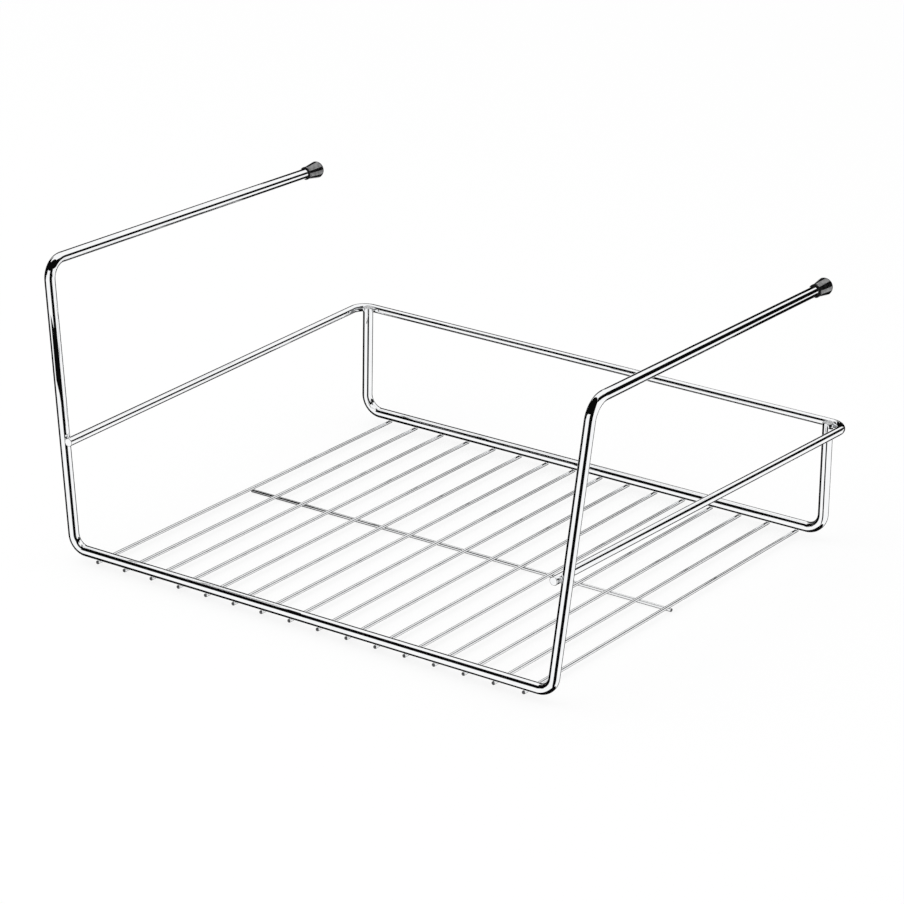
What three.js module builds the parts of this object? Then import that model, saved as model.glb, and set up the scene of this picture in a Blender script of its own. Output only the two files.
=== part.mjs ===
// Hanging organizer: a chrome wire basket that hangs under a shelf board.
// The two arms of one bent front rod lie on top of the board, and the basket hangs below it.
// Millimetres, +Z up, +X to the right, +Y from the front towards the back of the shelf.
import * as THREE from "three";

// Driving dimensions. Distances between rods are measured between their axes.
const FRAME_ROD = 6; // diameter of the rod of the front and rear frames
const RIM_ROD = 4.8; // diameter of the rod of the rim
const FLOOR_WIRE = 2; // diameter of the floor wires and the cross wire
const BASE_WIDTH = 310; // between the feet of the two posts, and between the rear uprights
const SHOULDER_WIDTH = 344; // between the two posts at the height of the arms
const DEPTH = 266.5; // from the front bottom bar to the rear bottom bar
const POST_HEIGHT = 158.5; // from the front bottom bar up to the arms
const POST_LEAN = 2.5; // how far the shoulders stand behind the front bottom bar
const ARM_LENGTH = 228.5; // from the shoulder's corner to the cut end of the arm
const ARM_TOE_IN = 1.1; // degrees by which each arm turns inwards
const ARM_DROP = 1.2; // degrees by which each arm slopes down towards its tip
const RIM_HEIGHT = 61.5; // from the bottom bars up to the rim
const RIM_END_PROUD = 1.2; // how far the rim's ends stick out in front of the posts
const SHOULDER_BEND = 10.5; // bend radius between post and arm, at the rod's axis
const FRONT_BEND = 9; // bend radius between front bar and post
const REAR_BEND = 10; // bend radius of the rear frame's two corners
const RIM_BEND = 9; // bend radius of the rim's two corners
const FLOOR_WIRE_COUNT = 16;
const FLOOR_EDGE = 6.5; // from the end of a bottom bar's straight run to the outermost floor wire
const FLOOR_WIRE_PROUD = 1.5; // how far a floor wire runs past the axes of the bottom bars
const CROSS_WIRE_SETBACK = 136; // from the front bottom bar back to the cross wire
const CROSS_WIRE_PROUD = 1.5; // how far the cross wire runs past the outermost floor wires
const WELD_SEAM = 0.2; // open seam left between two rods that are welded together
const ARM_SEAT_MARGIN = 1.5; // from the end of an arm's seat on the board to its cap
const CAP_SOCKET = 9; // length of arm inside a cap
const CAP_CLEARANCE = 0.15; // all round between an arm and its cap
const CAP_WALL = 0.6; // wall of a cap at its mouth
const CAP_LIP = 1.5; // length of the bead round a cap's mouth
const CAP_NECK = 0.15; // how far the cap steps in behind that bead
const CAP_FLARE = 1.1; // how much the radius grows from the mouth to the head
const CAP_HEAD = 4; // solid length of a cap past its socket
const CAP_ROUND = 3.2; // rounding of the head's rim

// Facets round a rod, a wire and a cap, steps in one bend, and steps in the cap's rounding
const ROD_SIDES = 24;
const WIRE_SIDES = 12;
const CAP_SIDES = 32;
const BEND_STEPS = 8;
const ROUND_STEPS = 5;

const CHROME = { color: 0xdfe2e5, metalness: 1, roughness: 0.08 };
const BLACK_VINYL = { color: 0x1b1b1c, metalness: 0, roughness: 0.35 };

// The axis of a rod bent at its corners: straight runs joined by arcs.
// Its stations lie only where the rod starts, ends or bends, so each straight run is one step.
// A corner with no bend radius only divides a straight run.
class BentAxis extends THREE.Curve {
  constructor(corners, bendRadii) {
    super();
    this.stations = [];
    const last = corners.length - 1;
    this.addStation(corners[0], corners[1].clone().sub(corners[0]));
    for (let i = 1; i < last; i++) {
      const radius = bendRadii[i - 1];
      if (radius > 0) this.addBend(corners[i - 1], corners[i], corners[i + 1], radius);
      else this.addStation(corners[i], corners[i + 1].clone().sub(corners[i]));
    }
    this.addStation(corners[last], corners[last].clone().sub(corners[last - 1]));
  }

  addStation(point, direction) {
    this.stations.push({ point: point.clone(), tangent: direction.clone().normalize() });
  }

  addBend(before, corner, after, radius) {
    const incoming = corner.clone().sub(before).normalize();
    const outgoing = after.clone().sub(corner).normalize();
    const turn = incoming.angleTo(outgoing);
    const start = corner.clone().addScaledVector(incoming, -radius * Math.tan(turn / 2));
    const inward = outgoing.clone().addScaledVector(incoming, -incoming.dot(outgoing)).normalize();
    for (let k = 0; k <= BEND_STEPS; k++) {
      const angle = (turn * k) / BEND_STEPS;
      const point = start.clone();
      point.addScaledVector(incoming, radius * Math.sin(angle));
      point.addScaledVector(inward, radius * (1 - Math.cos(angle)));
      const tangent = incoming.clone().multiplyScalar(Math.cos(angle));
      tangent.addScaledVector(inward, Math.sin(angle));
      this.addStation(point, tangent);
    }
  }

  get steps() {
    return this.stations.length - 1;
  }

  getPointAt(u, target = new THREE.Vector3()) {
    return target.copy(this.stations[Math.round(u * this.steps)].point);
  }

  getTangentAt(u, target = new THREE.Vector3()) {
    return target.copy(this.stations[Math.round(u * this.steps)].tangent);
  }
}

// A round section with flats, not edges, at its four quarter points
function roundSection(diameter, sides) {
  const points = [];
  for (let k = 0; k < sides; k++) {
    const angle = (2 * Math.PI * (k + 0.5)) / sides;
    points.push(new THREE.Vector2(Math.cos(angle), Math.sin(angle)).multiplyScalar(diameter / 2));
  }
  return new THREE.Shape(points);
}

function bentRod(name, corners, bendRadii, diameter) {
  const axis = new BentAxis(corners, bendRadii);
  const section = roundSection(diameter, ROD_SIDES);
  const geometry = new THREE.ExtrudeGeometry(section, { steps: axis.steps, extrudePath: axis });
  return named(name, geometry, CHROME);
}

// A straight wire along Y, centred on the origin, with a flat underneath
function straightWire(name, length) {
  const radius = FLOOR_WIRE / 2;
  const halfFacet = Math.PI / WIRE_SIDES;
  const geometry = new THREE.CylinderGeometry(radius, radius, length, WIRE_SIDES, 1, false, halfFacet);
  return named(name, geometry, CHROME);
}

function named(name, geometry, finish) {
  const mesh = new THREE.Mesh(geometry, new THREE.MeshStandardMaterial(finish));
  mesh.name = name;
  return mesh;
}

// The front bottom bar's axis is the X axis of this group, so the basket's floor lies below it.
const basket = new THREE.Group();
const LEFT = -1;
const RIGHT = 1;
const degrees = THREE.MathUtils.degToRad;

// Front frame: arm, post, bottom bar, post and arm in one rod
const foot = (side) => new THREE.Vector3((side * BASE_WIDTH) / 2, 0, 0);
const shoulder = (side) => new THREE.Vector3((side * SHOULDER_WIDTH) / 2, POST_LEAN, POST_HEIGHT);
const armDirection = (side) => {
  const level = Math.cos(degrees(ARM_DROP));
  const inwards = -side * Math.sin(degrees(ARM_TOE_IN)) * level;
  return new THREE.Vector3(inwards, Math.cos(degrees(ARM_TOE_IN)) * level, -Math.sin(degrees(ARM_DROP)));
};
const armPoint = (side, along) => shoulder(side).addScaledVector(armDirection(side), along);
const armSeatEnd = ARM_LENGTH - CAP_SOCKET - ARM_SEAT_MARGIN;
const frontCorners = [
  armPoint(LEFT, ARM_LENGTH),
  armPoint(LEFT, armSeatEnd),
  shoulder(LEFT),
  foot(LEFT),
  foot(RIGHT),
  shoulder(RIGHT),
  armPoint(RIGHT, armSeatEnd),
  armPoint(RIGHT, ARM_LENGTH),
];
const frontBends = [0, SHOULDER_BEND, FRONT_BEND, FRONT_BEND, SHOULDER_BEND, 0];
basket.add(bentRod("front_frame", frontCorners, frontBends, FRAME_ROD));

// Rear frame: an upright U whose cut ends are flush with the top of the rim
const uprightTop = RIM_HEIGHT + RIM_ROD / 2;
const rearCorners = [
  new THREE.Vector3(-BASE_WIDTH / 2, DEPTH, uprightTop),
  new THREE.Vector3(-BASE_WIDTH / 2, DEPTH, 0),
  new THREE.Vector3(BASE_WIDTH / 2, DEPTH, 0),
  new THREE.Vector3(BASE_WIDTH / 2, DEPTH, uprightTop),
];
basket.add(bentRod("rear_frame", rearCorners, [REAR_BEND, REAR_BEND], FRAME_ROD));

// Rim: its side rails touch the posts from inside, and its rear rail runs behind the uprights.
// Each rear corner starts to bend where the upright stands.
const railToFrame = (FRAME_ROD + RIM_ROD) / 2 + WELD_SEAM;
const postAtRim = (side) => foot(side).lerp(shoulder(side), RIM_HEIGHT / POST_HEIGHT);
const postSplay = Math.atan2(SHOULDER_WIDTH - BASE_WIDTH, 2 * POST_HEIGHT);
const rimSeat = (side) => {
  const seat = postAtRim(side);
  seat.x -= (side * railToFrame) / Math.cos(postSplay);
  return seat;
};
const rimCorner = (side) => {
  const across = BASE_WIDTH / 2 + RIM_BEND;
  return new THREE.Vector3(side * across, DEPTH + railToFrame, RIM_HEIGHT);
};
const rimEnd = (side) => {
  const seat = rimSeat(side);
  const forward = seat.clone().sub(rimCorner(side)).normalize();
  return seat.addScaledVector(forward, FRAME_ROD / 2 + RIM_END_PROUD);
};
const rimCorners = [rimEnd(LEFT), rimCorner(LEFT), rimCorner(RIGHT), rimEnd(RIGHT)];
basket.add(bentRod("rim", rimCorners, [RIM_BEND, RIM_BEND], RIM_ROD));

// Floor wires: evenly spread under the straight runs of the two bottom bars
const floorLevel = -(FRAME_ROD + FLOOR_WIRE) / 2 - WELD_SEAM;
const outermostWire = BASE_WIDTH / 2 - Math.max(FRONT_BEND, REAR_BEND) - FLOOR_EDGE;
const floorWireLength = DEPTH + 2 * FLOOR_WIRE_PROUD;
for (let i = 0; i < FLOOR_WIRE_COUNT; i++) {
  const number = String(i + 1).padStart(2, "0");
  const wire = straightWire(`floor_wire_${number}`, floorWireLength);
  const x = THREE.MathUtils.lerp(-outermostWire, outermostWire, i / (FLOOR_WIRE_COUNT - 1));
  wire.position.set(x, DEPTH / 2, floorLevel);
  basket.add(wire);
}

// Cross wire: ties the floor wires together from below
const crossWire = straightWire("cross_wire", 2 * (outermostWire + CROSS_WIRE_PROUD));
crossWire.rotation.z = Math.PI / 2;
crossWire.position.set(0, CROSS_WIRE_SETBACK, floorLevel - FLOOR_WIRE - WELD_SEAM);
basket.add(crossWire);

// Arm caps: a blind socket, a bead round the mouth, and a flared head with a rounded rim.
// The profile runs from the socket's floor out through the mouth and back over the outside to the tip.
function capGeometry() {
  const socket = FRAME_ROD / 2 + CAP_CLEARANCE;
  const socketDepth = CAP_SOCKET + CAP_CLEARANCE;
  const mouth = socket + CAP_WALL;
  const head = mouth + CAP_FLARE;
  const length = socketDepth + CAP_HEAD;
  const round = Math.min(CAP_ROUND, CAP_HEAD, head);
  const profile = [
    new THREE.Vector2(0, socketDepth),
    new THREE.Vector2(socket, socketDepth),
    new THREE.Vector2(socket, 0),
    new THREE.Vector2(mouth, 0),
    new THREE.Vector2(mouth, CAP_LIP),
    new THREE.Vector2(mouth - CAP_NECK, CAP_LIP + CAP_NECK),
  ];
  for (let k = 0; k <= ROUND_STEPS; k++) {
    const angle = ((Math.PI / 2) * k) / ROUND_STEPS;
    const radius = head - round + round * Math.cos(angle);
    profile.push(new THREE.Vector2(radius, length - round + round * Math.sin(angle)));
  }
  profile.push(new THREE.Vector2(0, length));
  return new THREE.LatheGeometry(profile, CAP_SIDES);
}
const LATHE_AXIS = new THREE.Vector3(0, 1, 0);
for (const [name, side] of [
  ["left_arm_cap", LEFT],
  ["right_arm_cap", RIGHT],
]) {
  const cap = named(name, capGeometry(), BLACK_VINYL);
  cap.position.copy(armPoint(side, ARM_LENGTH - CAP_SOCKET));
  cap.quaternion.setFromUnitVectors(LATHE_AXIS, armDirection(side));
  basket.add(cap);
}

// The part's origin is under the middle of the whole object, on the surface that it would stand on.
const extent = new THREE.Box3().setFromObject(basket);
const middle = extent.getCenter(new THREE.Vector3());
basket.position.set(-middle.x, -middle.y, -extent.min.z);

const organizer = new THREE.Group();
organizer.add(basket);
export default organizer;
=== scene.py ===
# Hanging organizer: a chrome wire basket that hangs under a shelf board by its two arms.
# Metres, +Z up, +X to the right, +Y towards the back of the shelf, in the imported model's own frame.
import math

import bmesh
import bpy
from mathutils import Matrix, Vector
from mathutils.geometry import intersect_line_line


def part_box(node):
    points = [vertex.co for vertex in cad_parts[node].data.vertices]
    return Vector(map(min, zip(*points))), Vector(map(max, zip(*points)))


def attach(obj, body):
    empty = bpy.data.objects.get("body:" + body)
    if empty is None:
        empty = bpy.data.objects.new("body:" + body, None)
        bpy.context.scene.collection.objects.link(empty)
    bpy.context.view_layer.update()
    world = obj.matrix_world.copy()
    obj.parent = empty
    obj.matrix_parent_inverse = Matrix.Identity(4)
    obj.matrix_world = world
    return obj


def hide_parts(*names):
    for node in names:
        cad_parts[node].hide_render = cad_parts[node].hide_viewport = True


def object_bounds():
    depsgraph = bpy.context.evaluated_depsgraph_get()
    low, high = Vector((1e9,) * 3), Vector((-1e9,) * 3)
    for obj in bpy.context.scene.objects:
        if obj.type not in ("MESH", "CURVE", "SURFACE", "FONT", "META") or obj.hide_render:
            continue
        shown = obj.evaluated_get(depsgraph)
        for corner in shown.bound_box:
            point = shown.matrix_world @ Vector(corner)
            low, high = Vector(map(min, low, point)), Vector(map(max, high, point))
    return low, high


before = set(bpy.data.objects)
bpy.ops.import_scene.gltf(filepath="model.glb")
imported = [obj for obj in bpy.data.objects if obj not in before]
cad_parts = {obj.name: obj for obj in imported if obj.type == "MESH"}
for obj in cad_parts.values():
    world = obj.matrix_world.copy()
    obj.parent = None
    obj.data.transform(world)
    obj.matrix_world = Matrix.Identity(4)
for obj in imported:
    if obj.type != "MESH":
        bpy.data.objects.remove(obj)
cad_low, cad_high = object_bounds()

# Front frame
# One 6 mm steel rod, bent cold into arm, post, front bar, post and arm, then polished and chrome plated.
# The floor wires are welded under its front bar and run a little past it, so a wire's box places the bar.
MM = 0.001
LEFT = -1
RIGHT = 1
FRAME_ROD = 6 * MM
FLOOR_WIRE = 2 * MM
FLOOR_WIRE_PROUD = 1.5 * MM
WELD_SEAM = 0.2 * MM
BASE_WIDTH = 310 * MM
SHOULDER_WIDTH = 344 * MM
POST_HEIGHT = 158.5 * MM
POST_LEAN = 2.5 * MM
ARM_LENGTH = 228.5 * MM
ARM_TOE_IN = math.radians(1.1)
ARM_DROP = math.radians(1.2)
SHOULDER_BEND = 10.5 * MM
FRONT_BEND = 9 * MM
BEND_STEP = math.radians(3)
ROD_SIDES = 64
CUT_ROUNDING = 0.45 * MM
CUT_STEPS = 5
CUT_CORE = 0.7

first_wire_low, first_wire_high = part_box("floor_wire_01")
floor_level = (first_wire_low.z + first_wire_high.z) / 2
bar_axis_y = first_wire_low.y + FLOOR_WIRE_PROUD
bar_axis_z = floor_level + FLOOR_WIRE / 2 + WELD_SEAM + FRAME_ROD / 2
bar_middle = Vector((0, bar_axis_y, bar_axis_z))


def bent_axis(corners, bend_radii):
    """(point, direction) pairs along a rod's axis: straight runs joined by round bends."""
    stations = [(corners[0], (corners[1] - corners[0]).normalized())]
    for before, corner, after, radius in zip(corners, corners[1:], corners[2:], bend_radii):
        incoming = (corner - before).normalized()
        outgoing = (after - corner).normalized()
        turn = incoming.angle(outgoing)
        inward = (outgoing - incoming * incoming.dot(outgoing)).normalized()
        start = corner - incoming * radius * math.tan(turn / 2)
        steps = math.ceil(turn / BEND_STEP)
        for k in range(steps + 1):
            angle = turn * k / steps
            point = start + incoming * radius * math.sin(angle) + inward * radius * (1 - math.cos(angle))
            stations.append((point, incoming * math.cos(angle) + inward * math.sin(angle)))
    stations.append((corners[-1], (corners[-1] - corners[-2]).normalized()))
    return stations


def rod_rings(stations, radius, rounding):
    """(point, direction, radius) of each ring of a rod, with a flat and a rounded edge at both cut ends."""
    cut = [(0, (radius - rounding) * CUT_CORE)]
    for k in range(CUT_STEPS + 1):
        angle = math.pi / 2 * k / CUT_STEPS
        cut.append((rounding * (1 - math.cos(angle)), radius - rounding * (1 - math.sin(angle))))
    first_point, first_direction = stations[0]
    last_point, last_direction = stations[-1]
    rings = [(first_point + first_direction * depth, first_direction, r) for depth, r in cut]
    rings += [(point, direction, radius) for point, direction in stations[1:-1]]
    rings += [(last_point - last_direction * depth, last_direction, r) for depth, r in reversed(cut)]
    return rings


def swept_rod(corners, bend_radii, diameter, sides=ROD_SIDES, rounding=CUT_ROUNDING):
    """A round rod as one closed mesh, each vertex knowing its place in the section and along the rod."""
    rings = rod_rings(bent_axis(corners, bend_radii), diameter / 2, rounding)
    mesh = bmesh.new()
    grain = mesh.verts.layers.float_vector.new("rod_grain")
    before, before_direction, _ = rings[0]
    across = before_direction.orthogonal().normalized()
    along = 0
    loops = []
    for point, direction, radius in rings:
        across.rotate(before_direction.rotation_difference(direction))
        along += (point - before).length
        upward = direction.cross(across)
        loop = []
        for k in range(sides):
            angle = 2 * math.pi * k / sides
            section = Vector((radius * math.cos(angle), radius * math.sin(angle), along))
            vertex = mesh.verts.new(point + across * section.x + upward * section.y)
            vertex[grain] = section
            loop.append(vertex)
        loops.append(loop)
        before, before_direction = point, direction
    close_loops(mesh, loops)
    return mesh


def close_loops(mesh, loops):
    """Quads from each loop of vertices to the next, and one face over each end."""
    sides = len(loops[0])
    for lower, upper in zip(loops, loops[1:]):
        for k in range(sides):
            after = (k + 1) % sides
            mesh.faces.new((lower[k], lower[after], upper[after], upper[k]))
    mesh.faces.new(reversed(loops[0]))
    mesh.faces.new(loops[-1])


def made_piece(name, mesh, *materials):
    """Turns a finished mesh into a smooth-shaded object with its materials."""
    for face in mesh.faces:
        face.smooth = True
    data = bpy.data.meshes.new(name)
    mesh.to_mesh(data)
    mesh.free()
    for material in materials:
        data.materials.append(material)
    piece = bpy.data.objects.new(name, data)
    bpy.context.scene.collection.objects.link(piece)
    return piece


# Chrome plate: a hard mirror with faint lines along the drawn rod under it and a slightly uneven polish
CHROME_BRIGHT = (0.955, 0.96, 0.965)
CHROME_DULL = (0.9, 0.91, 0.925)
CHROME_SPAN = (0.35, 0.75)
DRAW_LINE_WIDTH = 0.35 * MM
DRAW_LINE_LENGTH = 28 * MM
DRAW_LINE_DEPTH = 0.0003 * MM
DRAW_LINE_DETAIL = 2
POLISH_PATCH = 9 * MM
POLISH_DETAIL = 3
POLISH_SPAN = (0.35, 0.7)
POLISH_BEST = 0.015
POLISH_WORST = 0.035


def new_finish(name, metallic):
    """A node material with nothing but its main shader so far."""
    material = bpy.data.materials.new(name)
    material.use_nodes = True
    shader_input(material, "Metallic").default_value = metallic
    return material


def shader_input(material, socket):
    return material.node_tree.nodes["Principled BSDF"].inputs[socket]


def noise_along(material, vector, size, detail):
    """A noise with patches of that size, in the coordinates that the vector gives."""
    noise = material.node_tree.nodes.new("ShaderNodeTexNoise")
    noise.inputs["Scale"].default_value = 1 / size
    noise.inputs["Detail"].default_value = detail
    material.node_tree.links.new(vector, noise.inputs["Vector"])
    return noise.outputs["Fac"]


def surface_noise(material, size, detail):
    """A noise with patches of that size, fixed to the piece."""
    place = material.node_tree.nodes.new("ShaderNodeTexCoord")
    return noise_along(material, place.outputs["Object"], size, detail)


def raise_surface(material, noise, depth):
    """Lets a noise raise the surface by up to that depth."""
    relief = material.node_tree.nodes.new("ShaderNodeBump")
    relief.inputs["Distance"].default_value = depth
    material.node_tree.links.new(noise, relief.inputs["Height"])
    material.node_tree.links.new(relief.outputs["Normal"], shader_input(material, "Normal"))


def vary_value(material, socket, noise, span, first, last):
    """Takes one value of the shader from the first to the last while a noise runs over its span."""
    spread = material.node_tree.nodes.new("ShaderNodeMapRange")
    spread.inputs["From Min"].default_value = span[0]
    spread.inputs["From Max"].default_value = span[1]
    spread.inputs["To Min"].default_value = first
    spread.inputs["To Max"].default_value = last
    material.node_tree.links.new(noise, spread.inputs["Value"])
    material.node_tree.links.new(spread.outputs["Result"], shader_input(material, socket))


def vary_colour(material, noise, span, first, last):
    """Takes the surface from the first colour to the last while a noise runs over its span."""
    tone = material.node_tree.nodes.new("ShaderNodeValToRGB")
    for element, position, colour in zip(tone.color_ramp.elements, span, (first, last)):
        element.position = position
        element.color = (*colour, 1)
    material.node_tree.links.new(noise, tone.inputs["Fac"])
    material.node_tree.links.new(tone.outputs["Color"], shader_input(material, "Base Color"))


def chrome_plate(name, shade=1):
    """Chrome over drawn steel, at full brightness or a share of it."""
    material = new_finish(name, metallic=1)
    grain = material.node_tree.nodes.new("ShaderNodeAttribute")
    grain.attribute_name = "rod_grain"
    stretch = material.node_tree.nodes.new("ShaderNodeMapping")
    stretch.inputs["Scale"].default_value = (1 / DRAW_LINE_WIDTH, 1 / DRAW_LINE_WIDTH, 1 / DRAW_LINE_LENGTH)
    material.node_tree.links.new(grain.outputs["Vector"], stretch.inputs["Vector"])
    draw_lines = noise_along(material, stretch.outputs["Vector"], size=1, detail=DRAW_LINE_DETAIL)
    raise_surface(material, draw_lines, DRAW_LINE_DEPTH)

    patches = surface_noise(material, POLISH_PATCH, POLISH_DETAIL)
    vary_value(material, "Roughness", patches, POLISH_SPAN, POLISH_BEST, POLISH_WORST)
    bright = [shade * level for level in CHROME_BRIGHT]
    dull = [shade * level for level in CHROME_DULL]
    vary_colour(material, patches, CHROME_SPAN, bright, dull)
    return material


rod_chrome = chrome_plate("rod_chrome")


def foot(side):
    return bar_middle + Vector((side * BASE_WIDTH / 2, 0, 0))


def shoulder(side):
    return bar_middle + Vector((side * SHOULDER_WIDTH / 2, POST_LEAN, POST_HEIGHT))


def arm_direction(side):
    level = math.cos(ARM_DROP)
    return Vector((-side * math.sin(ARM_TOE_IN) * level, math.cos(ARM_TOE_IN) * level, -math.sin(ARM_DROP)))


def arm_point(side, along):
    return shoulder(side) + arm_direction(side) * along


front_corners = [
    arm_point(LEFT, ARM_LENGTH),
    shoulder(LEFT),
    foot(LEFT),
    foot(RIGHT),
    shoulder(RIGHT),
    arm_point(RIGHT, ARM_LENGTH),
]
front_bends = [SHOULDER_BEND, FRONT_BEND, FRONT_BEND, SHOULDER_BEND]
front_rod = made_piece("front_frame_rod", swept_rod(front_corners, front_bends, FRAME_ROD), rod_chrome)
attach(front_rod, "root")
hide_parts("front_frame")

# Rear frame
# An upright U of the same 6 mm rod, bent and plated in the same way.
# The rim is welded behind the tops of its two uprights, which are cut off flush with the rim.
# The cut tops were sheared before plating, so the chrome on them is frosted.
DEPTH = 266.5 * MM
REAR_BEND = 10 * MM
RIM_ROD = 4.8 * MM
RIM_HEIGHT = 61.5 * MM
TOP_CUT_REACH = CUT_ROUNDING / 2
TEAR_SIZE = 0.3 * MM
TEAR_DEPTH = 0.05 * MM
TEAR_DETAIL = 3
TEAR_SPAN = (0.35, 0.7)
FULL_SPAN = (0, 1)
FROSTED_DULL = (0.86, 0.865, 0.87)
FROSTED_BRIGHT = (0.95, 0.955, 0.96)
FROSTED_SMOOTH = 0.75
FROSTED_ROUGH = 0.95

upright_top = RIM_HEIGHT + RIM_ROD / 2


def upright_point(side, height):
    return bar_middle + Vector((side * BASE_WIDTH / 2, DEPTH, height))


def mark_cut_ends(mesh, reach):
    """Gives the faces within that reach of a rod's cut ends the piece's second material."""
    grain = mesh.verts.layers.float_vector["rod_grain"]
    length = max(vertex[grain].z for vertex in mesh.verts)
    for face in mesh.faces:
        places = [vertex[grain].z for vertex in face.verts]
        if max(places) < reach or min(places) > length - reach:
            face.material_index = 1
    return mesh


def sheared_face(name, dark, light, smooth, rough):
    """A sheared end: torn and rough, between the two colours given."""
    material = new_finish(name, metallic=1)
    tears = surface_noise(material, TEAR_SIZE, TEAR_DETAIL)
    raise_surface(material, tears, TEAR_DEPTH)
    vary_value(material, "Roughness", tears, FULL_SPAN, smooth, rough)
    vary_colour(material, tears, TEAR_SPAN, dark, light)
    return material


rod_cut = sheared_face("rod_cut", FROSTED_DULL, FROSTED_BRIGHT, FROSTED_SMOOTH, FROSTED_ROUGH)
rear_corners = [
    upright_point(LEFT, upright_top),
    upright_point(LEFT, 0),
    upright_point(RIGHT, 0),
    upright_point(RIGHT, upright_top),
]
rear_mesh = mark_cut_ends(swept_rod(rear_corners, [REAR_BEND] * 2, FRAME_ROD), TOP_CUT_REACH)
rear_rod = made_piece("rear_frame_rod", rear_mesh, rod_chrome, rod_cut)
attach(rear_rod, "root")
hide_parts("rear_frame")

# Rim
# A thinner chrome rod bent round three sides of the basket, open at the front.
# Its side rails are welded to the posts from inside, and its cut ends show just in front of them.
RIM_BEND = 9 * MM
RIM_END_PROUD = 1.2 * MM

rail_to_frame = (FRAME_ROD + RIM_ROD) / 2 + WELD_SEAM
post_splay = math.atan2(SHOULDER_WIDTH - BASE_WIDTH, 2 * POST_HEIGHT)


def post_at_rim(side):
    return foot(side).lerp(shoulder(side), RIM_HEIGHT / POST_HEIGHT)


def rim_seat(side):
    return post_at_rim(side) - Vector((side * rail_to_frame / math.cos(post_splay), 0, 0))


def rim_corner(side):
    across = BASE_WIDTH / 2 + RIM_BEND
    return bar_middle + Vector((side * across, DEPTH + rail_to_frame, RIM_HEIGHT))


def rail_direction(side):
    return (rim_corner(side) - rim_seat(side)).normalized()


def rim_end(side):
    return rim_seat(side) - rail_direction(side) * (FRAME_ROD / 2 + RIM_END_PROUD)


rim_corners = [rim_end(LEFT), rim_corner(LEFT), rim_corner(RIGHT), rim_end(RIGHT)]
rim_rod = made_piece("rim_rod", swept_rod(rim_corners, [RIM_BEND] * 2, RIM_ROD), rod_chrome)
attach(rim_rod, "root")
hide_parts("rim")

# Rim welds
# Four resistance welds: two hold the side rails to the posts, and two hold the rear rail to the uprights.
# Each is a small hollow fillet, slightly lumpy, that fills the seam between two rods.
# They are plated over with the rest, a little less smoothly.
WELD_SIDES = 32
WELD_STEPS = 8
WELD_WAIST = 0.72
WELD_CORE = 0.5
WELD_BURIED = 0.25 * MM
WELD_LUMP = 0.07
WELD_LUMP_COUNT = 2
RIM_WELD_LONG = 2.3 * MM
RIM_WELD_SHORT = 1.7 * MM
UPRIGHT_WELD_TURN = 2
RIPPLE_SIZE = 0.6 * MM
RIPPLE_DEPTH = 0.03 * MM
RIPPLE_DETAIL = 2
WELD_SMOOTH = 0.06
WELD_ROUGH = 0.22
WELD_BRIGHT = (0.93, 0.935, 0.94)
WELD_DULL = (0.8, 0.81, 0.82)


def sagitta(radius, offset):
    """How far a round rod's surface falls away at that distance from its nearest line."""
    return radius - math.sqrt(radius * radius - offset * offset)


def add_weld(mesh, bar, wire, long_reach, short_reach, turn):
    """Adds a fillet between two crossing rods, each given as (a point, its direction, its diameter).

    The reaches are along the wire and across it, and turn says how the lumps lie.
    """
    bar_point, bar_direction, bar_diameter = bar
    wire_point, wire_direction, wire_diameter = wire
    on_bar, on_wire = intersect_line_line(
        bar_point, bar_point + bar_direction, wire_point, wire_point + wire_direction
    )
    across_seam = (on_bar - on_wire).normalized()
    half_seam = ((on_bar - on_wire).length - bar_diameter / 2 - wire_diameter / 2) / 2
    middle = on_wire + across_seam * (wire_diameter / 2 + half_seam)
    beside_wire = across_seam.cross(wire_direction)
    beside_bar = across_seam.cross(bar_direction)
    shares = [(WELD_CORE, -WELD_BURIED, 0)]
    for k in range(WELD_STEPS + 1):
        t = k / WELD_STEPS
        shares.append((1 - (1 - WELD_WAIST) * math.sin(math.pi * t), 0, t))
    shares.append((WELD_CORE, WELD_BURIED, 1))
    loops = []
    for share, buried, t in shares:
        loop = []
        for k in range(WELD_SIDES):
            angle = 2 * math.pi * k / WELD_SIDES
            lump = 1 + WELD_LUMP * math.sin(WELD_LUMP_COUNT * angle + turn)
            spread = wire_direction * long_reach * math.sin(angle) * lump
            spread += beside_wire * short_reach * math.cos(angle) * lump
            wire_side = -half_seam - sagitta(wire_diameter / 2, spread.dot(beside_wire))
            bar_side = half_seam + sagitta(bar_diameter / 2, spread.dot(beside_bar))
            height = wire_side + (bar_side - wire_side) * t + buried
            loop.append(mesh.verts.new(middle + spread * share + across_seam * height))
        loops.append(loop)
    close_loops(mesh, loops)


def weld_finish(name):
    """Chrome over a weld: duller than the rod, and rippled where the metal set."""
    material = new_finish(name, metallic=1)
    ripples = surface_noise(material, RIPPLE_SIZE, RIPPLE_DETAIL)
    raise_surface(material, ripples, RIPPLE_DEPTH)
    vary_value(material, "Roughness", ripples, FULL_SPAN, WELD_SMOOTH, WELD_ROUGH)
    vary_colour(material, ripples, FULL_SPAN, WELD_BRIGHT, WELD_DULL)
    return material


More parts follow.
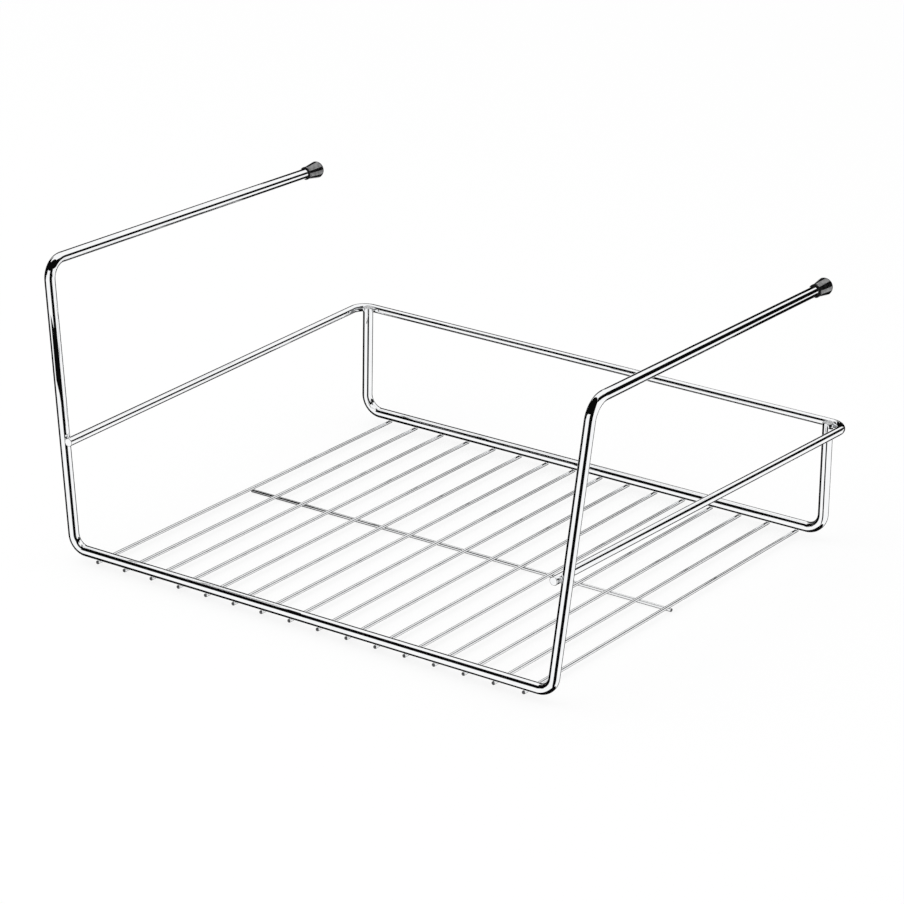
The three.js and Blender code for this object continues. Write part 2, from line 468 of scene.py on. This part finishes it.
weld_chrome = weld_finish("weld_chrome")
rear_rail = (rim_corner(LEFT), Vector((1, 0, 0)), RIM_ROD)
rim_weld_mesh = bmesh.new()
for side in (LEFT, RIGHT):
    post = (foot(side), (shoulder(side) - foot(side)).normalized(), FRAME_ROD)
    side_rail = (rim_seat(side), rail_direction(side), RIM_ROD)
    upright = (upright_point(side, 0), Vector((0, 0, 1)), FRAME_ROD)
    add_weld(rim_weld_mesh, post, side_rail, RIM_WELD_LONG, RIM_WELD_SHORT, side)
    add_weld(rim_weld_mesh, upright, rear_rail, RIM_WELD_LONG, RIM_WELD_SHORT, side + UPRIGHT_WELD_TURN)
rim_welds = made_piece("rim_welds", rim_weld_mesh, weld_chrome)
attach(rim_welds, "root")

# Floor wires
# Sixteen straight 2 mm wires, drawn and plated like the rods but duller, evenly spread under both bars.
# A weld holds each one under each bar. Their sheared ends have rounded edges, and their near-black colour
# is painted shade.
# They and their welds stay out of the chrome's reflections, so that the rods keep clean lines.
FLOOR_WIRE_COUNT = 16
WIRE_SIDES = 32
WIRE_ROUNDING = 0.5 * MM
WIRE_CUT_REACH = 0.9 * WIRE_ROUNDING
WIRE_SHADE = 0.9
# The wire ends' colours, from near black to dark grey, are painted shade.
PAINTED_END_SHADE_DARK = (0.06, 0.06, 0.063)
PAINTED_END_SHADE_LIGHT = (0.2, 0.2, 0.205)
STEEL_SMOOTH = 0.3
STEEL_ROUGH = 0.5
WIRE_WELD_LONG = 1.35 * MM
WIRE_WELD_SHORT = 0.72 * MM
REAR_WELD_TURN = 0.5

wire_chrome = chrome_plate("wire_chrome", WIRE_SHADE)
wire_end_painted_shade = sheared_face("wire_end_painted_shade", PAINTED_END_SHADE_DARK, PAINTED_END_SHADE_LIGHT, STEEL_SMOOTH, STEEL_ROUGH)
front_bar = (foot(LEFT), Vector((1, 0, 0)), FRAME_ROD)
rear_bar = (upright_point(LEFT, 0), Vector((1, 0, 0)), FRAME_ROD)
floor_weld_mesh = bmesh.new()
floor_wire_lines = []
for number in range(1, FLOOR_WIRE_COUNT + 1):
    node = f"floor_wire_{number:02d}"
    low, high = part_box(node)
    front_end = Vector(((low.x + high.x) / 2, low.y, floor_level))
    rear_end = Vector(((low.x + high.x) / 2, high.y, floor_level))
    wire_mesh = swept_rod([front_end, rear_end], [], FLOOR_WIRE, WIRE_SIDES, WIRE_ROUNDING)
    mark_cut_ends(wire_mesh, WIRE_CUT_REACH)
    wire = made_piece(f"floor_wire_rod_{number:02d}", wire_mesh, wire_chrome, wire_end_painted_shade)
    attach(wire, "root")
    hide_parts(node)
    wire.visible_glossy = False
    line = (front_end, Vector((0, 1, 0)), FLOOR_WIRE)
    floor_wire_lines.append(line)
    add_weld(floor_weld_mesh, front_bar, line, WIRE_WELD_LONG, WIRE_WELD_SHORT, number)
    add_weld(floor_weld_mesh, rear_bar, line, WIRE_WELD_LONG, WIRE_WELD_SHORT, number + REAR_WELD_TURN)
floor_welds = made_piece("floor_welds", floor_weld_mesh, weld_chrome)
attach(floor_welds, "root")
floor_welds.visible_glossy = False

# Cross wire
# One more 2 mm wire of the same kind, welded across the floor wires from below, about half way back.
# It keeps them from spreading under load, and stays out of the chrome's reflections as they do.
CROSS_WELD_LONG = 0.75 * MM
CROSS_WELD_SHORT = 0.7 * MM

cross_low, cross_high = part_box("cross_wire")
cross_middle = (cross_low + cross_high) / 2
cross_left = Vector((cross_low.x, cross_middle.y, cross_middle.z))
cross_right = Vector((cross_high.x, cross_middle.y, cross_middle.z))
cross_mesh = swept_rod([cross_left, cross_right], [], FLOOR_WIRE, WIRE_SIDES, WIRE_ROUNDING)
# The cross wire's cut ends get the same near-black painted shade as the floor wires' ends.
mark_cut_ends(cross_mesh, WIRE_CUT_REACH)
cross_rod = made_piece("cross_wire_rod", cross_mesh, wire_chrome, wire_end_painted_shade)
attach(cross_rod, "root")
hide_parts("cross_wire")
cross_rod.visible_glossy = False

cross_line = (cross_left, Vector((1, 0, 0)), FLOOR_WIRE)
cross_weld_mesh = bmesh.new()
for turn, line in enumerate(floor_wire_lines):
    add_weld(cross_weld_mesh, line, cross_line, CROSS_WELD_LONG, CROSS_WELD_SHORT, turn)
cross_welds = made_piece("cross_wire_welds", cross_weld_mesh, weld_chrome)
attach(cross_welds, "root")
cross_welds.visible_glossy = False

# Arm caps
# Glossy black vinyl caps, dip moulded and pushed over the arms' cut ends so that they don't mark the board.
# Each has a lip round its mouth, a slight neck, a body that widens along its length and a rounded head.
# The mouth was trimmed with a knife, which leaves it matt.
CAP_SIDES = 72
CAP_SOCKET = 9 * MM
CAP_SOCKET_SPARE = 0.1 * MM
CAP_FIT = 0.05 * MM
CAP_BORE = FRAME_ROD / 2 + CAP_FIT
CAP_AXIS_RING = 0.02 * CAP_BORE
CAP_EDGE = 0.12 * MM
CAP_EDGE_STEPS = 4
CAP_TRIM_REACH = 1.1 * CAP_EDGE
CAP_MOUTH = 3.75 * MM
CAP_LIP = 1.5 * MM
CAP_LIP_ROUND = 0.45 * MM
CAP_LIP_TURN = 70
CAP_LIP_STEPS = 5
CAP_NECK = 0.15 * MM
CAP_NECK_EASED = 0.8 * CAP_NECK
CAP_NECK_LENGTH = 3 * CAP_NECK
CAP_FLARE = 1.1 * MM
CAP_LENGTH = 13.15 * MM
CAP_ROUND = 3.2 * MM
CAP_ROUND_STEPS = 14
CAP_TIP_RING = 0.5
VINYL_BLACK = (0.006, 0.006, 0.0065)
VINYL_WORN = (0.02, 0.02, 0.021)
VINYL_IOR = 2.4
VINYL_COAT = 0.4
VINYL_COAT_ROUGHNESS = 0.03
PEEL_SIZE = 0.5 * MM
PEEL_DEPTH = 0.004 * MM
PEEL_DETAIL = 2
RUB_SIZE = 2 * MM
RUB_DETAIL = 4
RUB_TONE_SPAN = (0.45, 0.75)
RUB_SHINE_SPAN = (0.4, 0.6)
SKIN_SHINE = 0.7
RUBBED_SHINE = 0.3
SKIN_SMOOTH = 0.03
RUBBED_ROUGH = 0.12
TRIM_BLACK = (0.004, 0.004, 0.004)
TRIM_GREY = (0.014, 0.014, 0.015)
TRIM_ROUGHNESS = 0.6
TRIM_SHINE = 0.2
TRIM_MARK = 0.4 * MM
TRIM_DETAIL = 2


def arc(middle, size, start, end, steps):
    """(along, radius) points of a rounding about its middle, between two angles in degrees."""
    along, radius = middle
    points = []
    for k in range(steps + 1):
        angle = math.radians(start + (end - start) * k / steps)
        points.append((along + size * math.sin(angle), radius + size * math.cos(angle)))
    return points


def cap_profile():
    """(along, radius) points from the socket's floor, round the mouth and along the skin to the tip."""
    socket_floor = CAP_SOCKET + CAP_SOCKET_SPARE
    lip_middle = (CAP_LIP - CAP_LIP_ROUND, CAP_MOUTH - CAP_LIP_ROUND)
    head_flat = CAP_MOUTH + CAP_FLARE - CAP_ROUND
    profile = [(socket_floor, CAP_AXIS_RING), (socket_floor, CAP_BORE)]
    profile += arc((CAP_EDGE, CAP_BORE + CAP_EDGE), CAP_EDGE, -180, -90, CAP_EDGE_STEPS)
    profile += arc((CAP_EDGE, CAP_MOUTH - CAP_EDGE), CAP_EDGE, -90, 0, CAP_EDGE_STEPS)
    profile += arc(lip_middle, CAP_LIP_ROUND, 0, CAP_LIP_TURN, CAP_LIP_STEPS)
    profile.append((CAP_LIP + CAP_NECK, CAP_MOUTH - CAP_NECK))
    profile.append((CAP_LIP + CAP_NECK_LENGTH, CAP_MOUTH - CAP_NECK_EASED))
    profile += arc((CAP_LENGTH - CAP_ROUND, head_flat), CAP_ROUND, 0, 90, CAP_ROUND_STEPS)
    profile += [(CAP_LENGTH, head_flat * CAP_TIP_RING), (CAP_LENGTH, CAP_AXIS_RING)]
    return profile


def turned_cap(side):
    """The profile turned round the arm's axis, closed at the socket's floor and at the tip."""
    axis = arm_direction(side)
    mouth = arm_point(side, ARM_LENGTH - CAP_SOCKET)
    across = axis.orthogonal().normalized()
    upward = axis.cross(across)
    mesh = bmesh.new()
    loops = []
    for along, radius in cap_profile():
        loop = []
        for k in range(CAP_SIDES):
            angle = 2 * math.pi * k / CAP_SIDES
            offset = across * math.cos(angle) + upward * math.sin(angle)
            loop.append(mesh.verts.new(mouth + axis * along + offset * radius))
        loops.append(loop)
    close_loops(mesh, loops)
    for face in mesh.faces:
        if max((vertex.co - mouth).dot(axis) for vertex in face.verts) < CAP_TRIM_REACH:
            face.material_index = 1
    return mesh


def moulded_vinyl(name):
    """Black vinyl: a glossy skin with a fine orange-peel texture, greyer where it has been rubbed."""
    material = new_finish(name, metallic=0)
    shader_input(material, "IOR").default_value = VINYL_IOR
    shader_input(material, "Coat Weight").default_value = VINYL_COAT
    shader_input(material, "Coat Roughness").default_value = VINYL_COAT_ROUGHNESS
    raise_surface(material, surface_noise(material, PEEL_SIZE, PEEL_DETAIL), PEEL_DEPTH)
    rubbed = surface_noise(material, RUB_SIZE, RUB_DETAIL)
    vary_colour(material, rubbed, RUB_TONE_SPAN, VINYL_BLACK, VINYL_WORN)
    vary_value(material, "Roughness", rubbed, FULL_SPAN, SKIN_SMOOTH, RUBBED_ROUGH)
    vary_value(material, "Specular IOR Level", rubbed, RUB_SHINE_SPAN, SKIN_SHINE, RUBBED_SHINE)
    return material


def trimmed_vinyl(name):
    """The cap's mouth, where the moulding was trimmed with a knife: matt and blacker than the skin."""
    material = new_finish(name, metallic=0)
    shader_input(material, "Roughness").default_value = TRIM_ROUGHNESS
    shader_input(material, "Specular IOR Level").default_value = TRIM_SHINE
    vary_colour(material, surface_noise(material, TRIM_MARK, TRIM_DETAIL), FULL_SPAN, TRIM_BLACK, TRIM_GREY)
    return material


cap_vinyl = moulded_vinyl("cap_vinyl")
cap_trim = trimmed_vinyl("cap_trim")
for side, word in ((LEFT, "left"), (RIGHT, "right")):
    cap = made_piece(f"{word}_cap_vinyl", turned_cap(side), cap_vinyl, cap_trim)
    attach(cap, "root")
    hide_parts(f"{word}_arm_cap")

# Floor
# A plain matt white table top under the basket, which fills every view and takes its soft shadow.
# To the camera most of it glows plain white, so that the shadow is faint.
# It stays out of the chrome's reflections, so that the rods mirror the same white from below.
FLOOR_SIZE = 30
FLOOR_DROP = 0.1 * MM
FLOOR_WHITE = (0.94, 0.94, 0.94, 1)
FLOOR_ROUGHNESS = 1
FLOOR_SHINE = 0
FLOOR_GLOW = (1, 1, 1, 1)
FLOOR_GLOW_SHARE = 0.8

floor_mesh = bmesh.new()
bmesh.ops.create_grid(floor_mesh, x_segments=1, y_segments=1, size=FLOOR_SIZE / 2)
floor_paint = new_finish("floor_paint", metallic=0)
shader_input(floor_paint, "Base Color").default_value = FLOOR_WHITE
shader_input(floor_paint, "Roughness").default_value = FLOOR_ROUGHNESS
shader_input(floor_paint, "Specular IOR Level").default_value = FLOOR_SHINE
floor_nodes = floor_paint.node_tree.nodes
floor_link = floor_paint.node_tree.links.new
floor_glow = floor_nodes.new("ShaderNodeEmission")
floor_glow.inputs["Color"].default_value = FLOOR_GLOW
floor_path = floor_nodes.new("ShaderNodeLightPath")
floor_share = floor_nodes.new("ShaderNodeMath")
floor_share.operation = "MULTIPLY"
floor_share.inputs[1].default_value = FLOOR_GLOW_SHARE
floor_mix = floor_nodes.new("ShaderNodeMixShader")
floor_link(floor_path.outputs["Is Camera Ray"], floor_share.inputs[0])
floor_link(floor_share.outputs["Value"], floor_mix.inputs["Fac"])
floor_link(floor_nodes["Principled BSDF"].outputs["BSDF"], floor_mix.inputs[1])
floor_link(floor_glow.outputs["Emission"], floor_mix.inputs[2])
floor_link(floor_mix.outputs["Shader"], floor_nodes["Material Output"].inputs["Surface"])
floor = made_piece("floor", floor_mesh, floor_paint)
floor.location.z = cad_low.z - FLOOR_DROP
floor.visible_glossy = False

# Camera
# Stands to the right of the front and above it, where the photograph was taken, with a long lens.
# The denoiser's guide is left unfiltered, because a filtered one smears the 2 mm wires.
CAMERA_PLACE = Vector((1.16313, -1.67789, 0.85192))
CAMERA_YAW = math.radians(34.791)
CAMERA_PITCH = math.radians(21.263)
CAMERA_ROLL = math.radians(0.974)
CAMERA_LENS = 161.38
CAMERA_SENSOR = 36
CAMERA_NEAREST = 0.05
CAMERA_FARTHEST = 100

turned = Matrix.Rotation(CAMERA_YAW, 3, "Z")
tilted = Matrix.Rotation(math.pi / 2 - CAMERA_PITCH, 3, "X")
rolled = Matrix.Rotation(CAMERA_ROLL, 3, "Z")
camera_data = bpy.data.cameras.new("camera")
camera_data.lens = CAMERA_LENS
camera_data.sensor_width = CAMERA_SENSOR
camera_data.clip_start = CAMERA_NEAREST
camera_data.clip_end = CAMERA_FARTHEST
camera = bpy.data.objects.new("camera", camera_data)
camera.location = CAMERA_PLACE
camera.rotation_euler = (turned @ tilted @ rolled).to_euler()
bpy.context.scene.collection.objects.link(camera)
bpy.context.scene.camera = camera
bpy.context.scene.view_settings.view_transform = "Standard"
bpy.context.scene.cycles.denoising_prefilter = "NONE"

# Studio
# White all round, with one broad soft lamp and black cards that only show in reflections.
# A band in front, cards at the left, the right and below, and a ring behind give the rods their dark lines.
# Smaller flags near both shoulders and the left foot give those bends their black patches.
SURROUND_WHITE = (1, 1, 1, 1)
SURROUND_LEVEL = 0.95
SEEN_LEVEL = 1
LAMP_POWER = 9
LAMP_SIZE = 1.6
LAMP_DISTANCE = 2.2
LAMP_AZIMUTH = -35
LAMP_ELEVATION = 58
CARD_BLACK = (0.003, 0.003, 0.003, 1)
CARD_DISTANCE = 3
CARD_STEP = 4
CARD_ROWS = 16
FRONT_BAND = [
    (-103, 8, 48),
    (-80, 8, 49),
    (-64, 6, 50),
    (-58, 4, 54),
    (-52, 0, 72),
    (-42, -6, 74),
    (-40, 10, 74),
    (-28, 11, 74),
]
LEFT_CARD = [(-100, -60, 12), (-47, -60, 12)]
LOW_CARD = [(-180, -90, -55), (180, -90, -55)]
SHOULDER_FLAG_DISTANCE = 0.045
LEFT_SHOULDER_FLAG = [(-58, 28, 90), (108, 28, 90)]
RIGHT_SHOULDER_FLAG = [(-107, 5, 90), (70, 5, 90), (78, 40, 90)]
FOOT_FLAG_DISTANCE = 0.13
FOOT_FLAG = [(-26, 29, 66), (15, 29, 59), (35, 26, 57), (60, 24, 55), (85, 22, 52)]
RIGHT_FRONT_CARD = [(0.401, -1.061, -0.7, 0.9), (0.417, -0.209, -0.7, 0.65)]
RIGHT_REAR_CARD = [
    (0.417, -0.209, 0.42, 1.3),
    (0.486, 0.32, 0.13, 0.642),
    (0.302, 1.37, 0.13, 0.642),
]
RING_STEP = 1
RING_HOLE = 20
RING_EDGE = [
    (-60, 54),
    (-10, 54),
    (-8, 58),
    (5, 58),
    (15, 54),
    (60, 54),
    (70, 55),
    (77, 53),
    (81, 49),
    (85, 46),
    (88.5, 46),
    (92, 62),
    (125, 62),
    (135, 54),
    (300, 54),
]

world = bpy.data.worlds.new("white_studio")
bpy.context.scene.world = world
world.use_nodes = True
world_nodes = world.node_tree.nodes
world_link = world.node_tree.links.new
world_nodes["Background"].inputs["Color"].default_value = SURROUND_WHITE
world_nodes["Background"].inputs["Strength"].default_value = SURROUND_LEVEL
seen_white = world_nodes.new("ShaderNodeBackground")
seen_white.inputs["Color"].default_value = SURROUND_WHITE
seen_white.inputs["Strength"].default_value = SEEN_LEVEL
ray = world_nodes.new("ShaderNodeLightPath")
camera_or_glossy = world_nodes.new("ShaderNodeMath")
camera_or_glossy.operation = "MAXIMUM"
world_link(ray.outputs["Is Camera Ray"], camera_or_glossy.inputs[0])
world_link(ray.outputs["Is Glossy Ray"], camera_or_glossy.inputs[1])
or_transmission = world_nodes.new("ShaderNodeMath")
or_transmission.operation = "MAXIMUM"
world_link(camera_or_glossy.outputs["Value"], or_transmission.inputs[0])
world_link(ray.outputs["Is Transmission Ray"], or_transmission.inputs[1])
world_mix = world_nodes.new("ShaderNodeMixShader")
world_link(or_transmission.outputs["Value"], world_mix.inputs["Fac"])
world_link(world_nodes["Background"].outputs["Background"], world_mix.inputs[1])
world_link(seen_white.outputs["Background"], world_mix.inputs[2])
world_link(world_mix.outputs["Shader"], world_nodes["World Output"].inputs["Surface"])

object_middle = (cad_low + cad_high) / 2


def heading(azimuth, elevation):
    """A direction from azimuth, 0 to the front and 90 to the right, and elevation, in degrees."""
    a = math.radians(azimuth)
    e = math.radians(elevation)
    return Vector((math.sin(a) * math.cos(e), -math.cos(a) * math.cos(e), math.sin(e)))


lamp_data = bpy.data.lights.new("soft_lamp", "AREA")
lamp_data.energy = LAMP_POWER
lamp_data.size = LAMP_SIZE
lamp = bpy.data.objects.new("soft_lamp", lamp_data)
lamp.location = object_middle + heading(LAMP_AZIMUTH, LAMP_ELEVATION) * LAMP_DISTANCE
lamp.rotation_mode = "QUATERNION"
lamp.rotation_quaternion = (object_middle - lamp.location).to_track_quat("-Z", "Y")
lamp.visible_glossy = False
bpy.context.scene.collection.objects.link(lamp)

card_black = bpy.data.materials.new("card_black")
card_black.use_nodes = True
card_nodes = card_black.node_tree.nodes
card_nodes.remove(card_nodes["Principled BSDF"])
card_surface = card_nodes.new("ShaderNodeEmission")
card_surface.inputs["Color"].default_value = CARD_BLACK
card_output = card_nodes["Material Output"]
card_black.node_tree.links.new(card_surface.outputs["Emission"], card_output.inputs["Surface"])


def stage_card(name, mesh, columns):
    """Joins columns of vertices to a black card that shows only in reflections, and shades nothing."""
    for left, right in zip(columns, columns[1:]):
        for j in range(len(left) - 1):
            mesh.faces.new((left[j], right[j], right[j + 1], left[j + 1]))
    card = made_piece(name, mesh, card_black)
    card.visible_camera = False
    card.visible_diffuse = False
    card.visible_transmission = False
    card.visible_shadow = False


def bent_card(name, stations, middle, distance):
    """A card bent round one place, through (azimuth, lower elevation, upper elevation) stations."""
    mesh = bmesh.new()
    columns = []
    for before, after in zip(stations, stations[1:]):
        steps = math.ceil((after[0] - before[0]) / CARD_STEP)
        for k in range(steps + 1):
            azimuth, lower, upper = Vector(before).lerp(Vector(after), k / steps)
            column = []
            for j in range(CARD_ROWS + 1):
                elevation = lower + (upper - lower) * j / CARD_ROWS
                column.append(mesh.verts.new(middle + heading(azimuth, elevation) * distance))
            columns.append(column)
    stage_card(name, mesh, columns)


def folded_card(name, stations):
    """An upright folding card through (x, y, lower height, upper height) stations."""
    mesh = bmesh.new()
    columns = []
    for x, y, lower, upper in stations:
        columns.append((mesh.verts.new((x, y, lower)), mesh.verts.new((x, y, upper))))
    stage_card(name, mesh, columns)


def ring_card(name, hole, stations):
    """A card bent round behind the object, as the camera sees it, with a round hole of that half angle.

    Its stations give its outer edge: a turn from the picture's right upwards, and the half angle there.
    """
    away = turned @ tilted @ Vector((0, 0, -1))
    rightward = turned @ tilted @ Vector((1, 0, 0))
    upward = turned @ tilted @ Vector((0, 1, 0))
    mesh = bmesh.new()
    columns = []
    for before, after in zip(stations, stations[1:]):
        steps = math.ceil((after[0] - before[0]) / RING_STEP)
        for k in range(steps):
            turn, edge = Vector(before).lerp(Vector(after), k / steps)
            outward = rightward * math.cos(math.radians(turn)) + upward * math.sin(math.radians(turn))
            column = []
            for j in range(CARD_ROWS + 1):
                angle = math.radians(hole + (edge - hole) * j / CARD_ROWS)
                way = away * math.cos(angle) + outward * math.sin(angle)
                column.append(mesh.verts.new(object_middle + way * CARD_DISTANCE))
            columns.append(column)
    stage_card(name, mesh, columns + columns[:1])


bent_card("front_band", FRONT_BAND, object_middle, CARD_DISTANCE)
bent_card("left_card", LEFT_CARD, object_middle, CARD_DISTANCE)
bent_card("low_card", LOW_CARD, object_middle, CARD_DISTANCE)
bent_card("left_shoulder_flag", LEFT_SHOULDER_FLAG, shoulder(LEFT), SHOULDER_FLAG_DISTANCE)
bent_card("right_shoulder_flag", RIGHT_SHOULDER_FLAG, shoulder(RIGHT), SHOULDER_FLAG_DISTANCE)
bent_card("left_foot_flag", FOOT_FLAG, foot(LEFT), FOOT_FLAG_DISTANCE)
folded_card("right_front_card", RIGHT_FRONT_CARD)
folded_card("right_rear_card", RIGHT_REAR_CARD)
ring_card("backdrop_ring", RING_HOLE, RING_EDGE)
